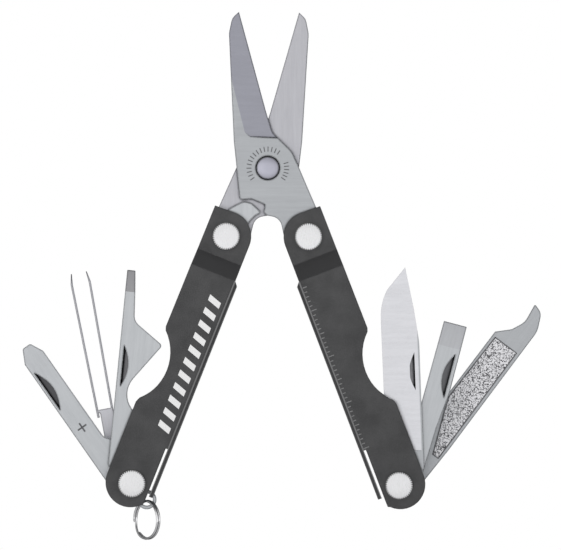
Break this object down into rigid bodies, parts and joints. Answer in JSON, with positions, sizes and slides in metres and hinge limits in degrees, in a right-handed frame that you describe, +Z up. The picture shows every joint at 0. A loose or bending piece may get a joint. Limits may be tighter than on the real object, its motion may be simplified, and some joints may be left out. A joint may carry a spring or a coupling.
{
  "type": "folding key-ring multi tool",
  "caption": "Pocket multi tool with spring scissors, folded-sheet handles, fold-out knife, file, drivers, opener and tweezers, and a key ring.",
  "frame": {"origin": "middle of the open tool's bounding box, on the plane where the two scissor blades meet", "axes": "+Z up along the open scissors towards their tips, -Y towards the front face with the nail nicks, +X to the knife's side"},
  "size_m": [0.106, 0.0126, 0.1078],
  "materials": {
    "grey_coat": "satin dark grey coating on folded sheet steel",
    "brushed_steel": "fine brushed stainless steel",
    "bright_steel": "bright stainless steel"
  },
  "bodies": {
    "rear_blade": {"rear_scissor_blade": "brushed_steel", "scissor_rivet_washer": "brushed_steel"},
    "front_blade": {"front_scissor_blade": "brushed_steel", "scissor_rivet": "brushed_steel"},
    "left_handle": {"left_handle": "grey_coat", "left_head_pin": "bright_steel", "left_head_pin_cap": "bright_steel", "left_tool_pin": "bright_steel", "left_tool_pin_cap": "bright_steel", "left_front_collar": "brushed_steel", "left_rear_collar": "brushed_steel", "tweezers_spacer": "brushed_steel"},
    "right_handle": {"right_handle": "grey_coat", "right_head_pin": "bright_steel", "right_head_pin_cap": "bright_steel", "right_head_spacer": "brushed_steel", "right_tool_pin": "bright_steel", "right_tool_pin_cap": "bright_steel", "right_collar": "brushed_steel", "file_spacer": "brushed_steel"},
    "spring": {"scissor_spring": "brushed_steel"},
    "opener": {"bottle_opener": "brushed_steel"},
    "cross_driver": {"cross_driver": "brushed_steel"},
    "tweezers": {"tweezers": "brushed_steel"},
    "knife": {"knife_blade": "bright_steel"},
    "flat_driver": {"flat_driver": "brushed_steel"},
    "nail_file": {"nail_file": "brushed_steel"},
    "key_loop": {"key_loop": "brushed_steel"},
    "ring": {"split_ring": "bright_steel"}
  },
  "joints": [
    {"name": "left_fold", "type": "hinge", "parent": "rear_blade", "child": "left_handle", "pos_m": [-0.01145, 0, 0.00801], "axis": [0, 1, 0], "range_deg": [0, 162]},
    {"name": "right_fold", "type": "hinge", "parent": "front_blade", "child": "right_handle", "pos_m": [0.00536, 0, 0.00791], "axis": [0, -1, 0], "range_deg": [0, 162]},
    {"name": "scissor_snip", "type": "hinge", "parent": "rear_blade", "child": "front_blade", "pos_m": [-0.00296, 0, 0.02198], "axis": [0, -1, 0], "range_deg": [-24.5, 0]},
    {"name": "spring_flex", "type": "hinge", "parent": "left_handle", "child": "spring", "pos_m": [-0.01145, 0, 0.00801], "axis": [0, 1, 0], "range_deg": [-28, 0]},
    {"name": "opener_swing", "type": "hinge", "parent": "left_handle", "child": "opener", "pos_m": [-0.03067, 0, -0.04246], "axis": [0, 1, 0], "range_deg": [-163.8, 16.2]},
    {"name": "cross_driver_swing", "type": "hinge", "parent": "left_handle", "child": "cross_driver", "pos_m": [-0.03067, 0, -0.04246], "axis": [0, 1, 0], "range_deg": [-123.2, 56.8]},
    {"name": "tweezers_swing", "type": "hinge", "parent": "left_handle", "child": "tweezers", "pos_m": [-0.03067, 0, -0.04246], "axis": [0, 1, 0], "range_deg": [-117.8, 32.2]},
    {"name": "knife_swing", "type": "hinge", "parent": "right_handle", "child": "knife", "pos_m": [0.02381, 0, -0.04285], "axis": [0, -1, 0], "range_deg": [-161.3, 18.7]},
    {"name": "flat_driver_swing", "type": "hinge", "parent": "right_handle", "child": "flat_driver", "pos_m": [0.02381, 0, -0.04285], "axis": [0, -1, 0], "range_deg": [-144.3, 35.7]},
    {"name": "nail_file_swing", "type": "hinge", "parent": "right_handle", "child": "nail_file", "pos_m": [0.02381, 0, -0.04285], "axis": [0, -1, 0], "range_deg": [-122.5, 57.5]},
    {"name": "key_loop_swing", "type": "hinge", "parent": "left_handle", "child": "key_loop", "pos_m": [-0.03067, 0, -0.04246], "axis": [0, 1, 0], "range_deg": [-6, 20]},
    {"name": "ring_swing", "type": "hinge", "parent": "key_loop", "child": "ring", "pos_m": [-0.02774, 0, -0.04589], "axis": [0, 1, 0], "range_deg": [-15, 25]}
  ],
  "couplings": [
    {"joint": "spring_flex", "follows": "scissor_snip", "ratio": 1.12}
  ]
}
